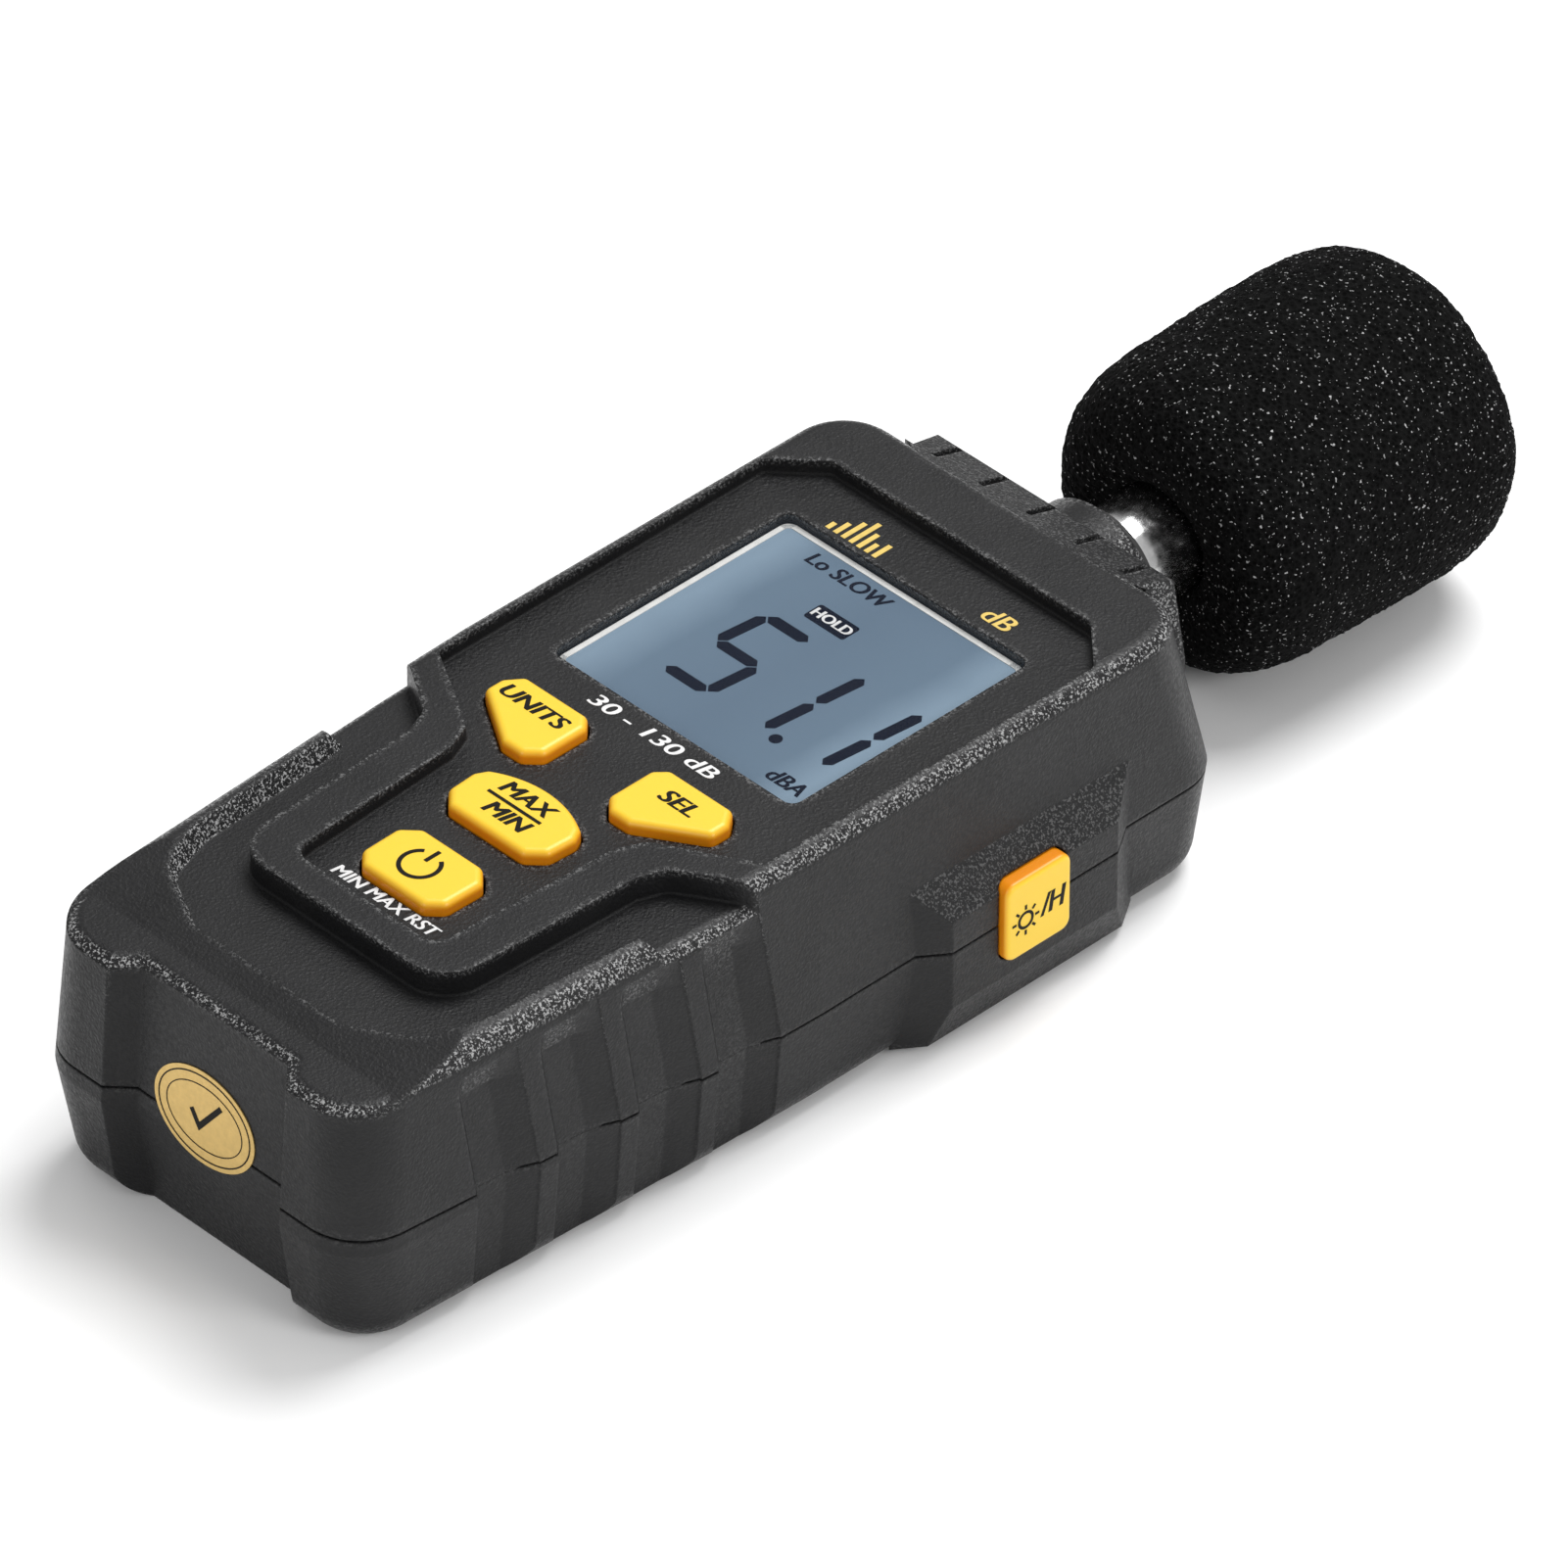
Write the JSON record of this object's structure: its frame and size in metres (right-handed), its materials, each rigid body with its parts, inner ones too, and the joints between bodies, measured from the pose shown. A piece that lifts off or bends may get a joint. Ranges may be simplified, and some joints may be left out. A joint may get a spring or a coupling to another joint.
{
  "type": "sound level meter",
  "caption": "Hand-held sound level meter: grooved dark case, backlit display, yellow keys, microphone barrel with foam windscreen, battery cover.",
  "frame": {"origin": "On the flat rear face, straight under the centre of the display window, with the meter lying on its back", "axes": "+Z out through the display, +Y along the meter towards the microphone and windscreen, +X to the reader's right, the side with the side key"},
  "size_m": [0.0581, 0.1782, 0.0375],
  "materials": {
    "shell": "fine spark-eroded texture, dark grey moulded ABS",
    "key": "satin yellow moulded key",
    "window": "clear polished acrylic",
    "lcd": "blue-grey liquid crystal panel",
    "white_plastic": "white moulded frame and light guide",
    "rubber": "soft black elastomer",
    "steel": "plated steel",
    "board": "green solder mask on glass-epoxy",
    "component": "black moulded component",
    "can": "bare aluminium can",
    "barrel": "bright plated metal tube",
    "lead": "insulated wire",
    "foam": "open-cell black foam",
    "cell": "plain sleeved dry cell",
    "sticker": "metallic gold label, no lettering"
  },
  "bodies": {
    "case": {"front_shell": "shell", "rear_shell": "shell", "head_cap": "shell", "case_screws": "steel", "display_window": "window", "window_gasket": "rubber", "lcd_glass": "lcd", "lcd_frame": "white_plastic", "backlight_panel": "white_plastic", "zebra_strips": "rubber", "keypad_mat": "rubber", "key_switches": "component", "side_switch": "component", "side_switch_board": "board", "main_board": "board", "board_screws": "steel", "processor": "component", "capacitors": "can", "contact_plates": "steel", "contact_springs": "steel", "mic_barrel": "barrel", "mic_capsule": "can", "mic_grille": "steel", "mic_ring": "rubber", "mic_board": "board", "mic_leads": "lead", "inspection_sticker": "sticker"},
    "cover": {"battery_cover": "shell", "battery_cover_screw": "steel"},
    "cells": {"battery_1": "cell", "battery_2": "cell", "battery_3": "cell"},
    "windscreen": {"windscreen": "foam"},
    "power_key": {"power_key": "key"},
    "max_min_key": {"max_min_key": "key"},
    "units_key": {"units_key": "key"},
    "select_key": {"select_key": "key"},
    "side_key": {"side_key": "key"}
  },
  "joints": [
    {"name": "power_key_press", "type": "slide", "parent": "case", "child": "power_key", "axis": [0, 0, -1], "range_m": [0, 0.0009], "stiffness_N_per_m": 350},
    {"name": "max_min_key_press", "type": "slide", "parent": "case", "child": "max_min_key", "axis": [0, 0, -1], "range_m": [0, 0.0009], "stiffness_N_per_m": 350},
    {"name": "units_key_press", "type": "slide", "parent": "case", "child": "units_key", "axis": [0, 0, -1], "range_m": [0, 0.0009], "stiffness_N_per_m": 350},
    {"name": "select_key_press", "type": "slide", "parent": "case", "child": "select_key", "axis": [0, 0, -1], "range_m": [0, 0.0009], "stiffness_N_per_m": 350},
    {"name": "side_key_press", "type": "slide", "parent": "case", "child": "side_key", "axis": [-1, 0, 0], "range_m": [0, 0.0008], "stiffness_N_per_m": 350},
    {"name": "cover_lift", "type": "slide", "parent": "case", "child": "cover", "axis": [0, 0, -1], "range_m": [0, 0.04]},
    {"name": "cells_lift", "type": "slide", "parent": "case", "child": "cells", "axis": [0, 0, -1], "range_m": [0, 0.02]},
    {"name": "windscreen_pull", "type": "slide", "parent": "case", "child": "windscreen", "axis": [0, 1, 0], "range_m": [0, 0.045]}
  ],
  "couplings": [
    {"joint": "cells_lift", "follows": "cover_lift", "ratio": 0.5}
  ]
}
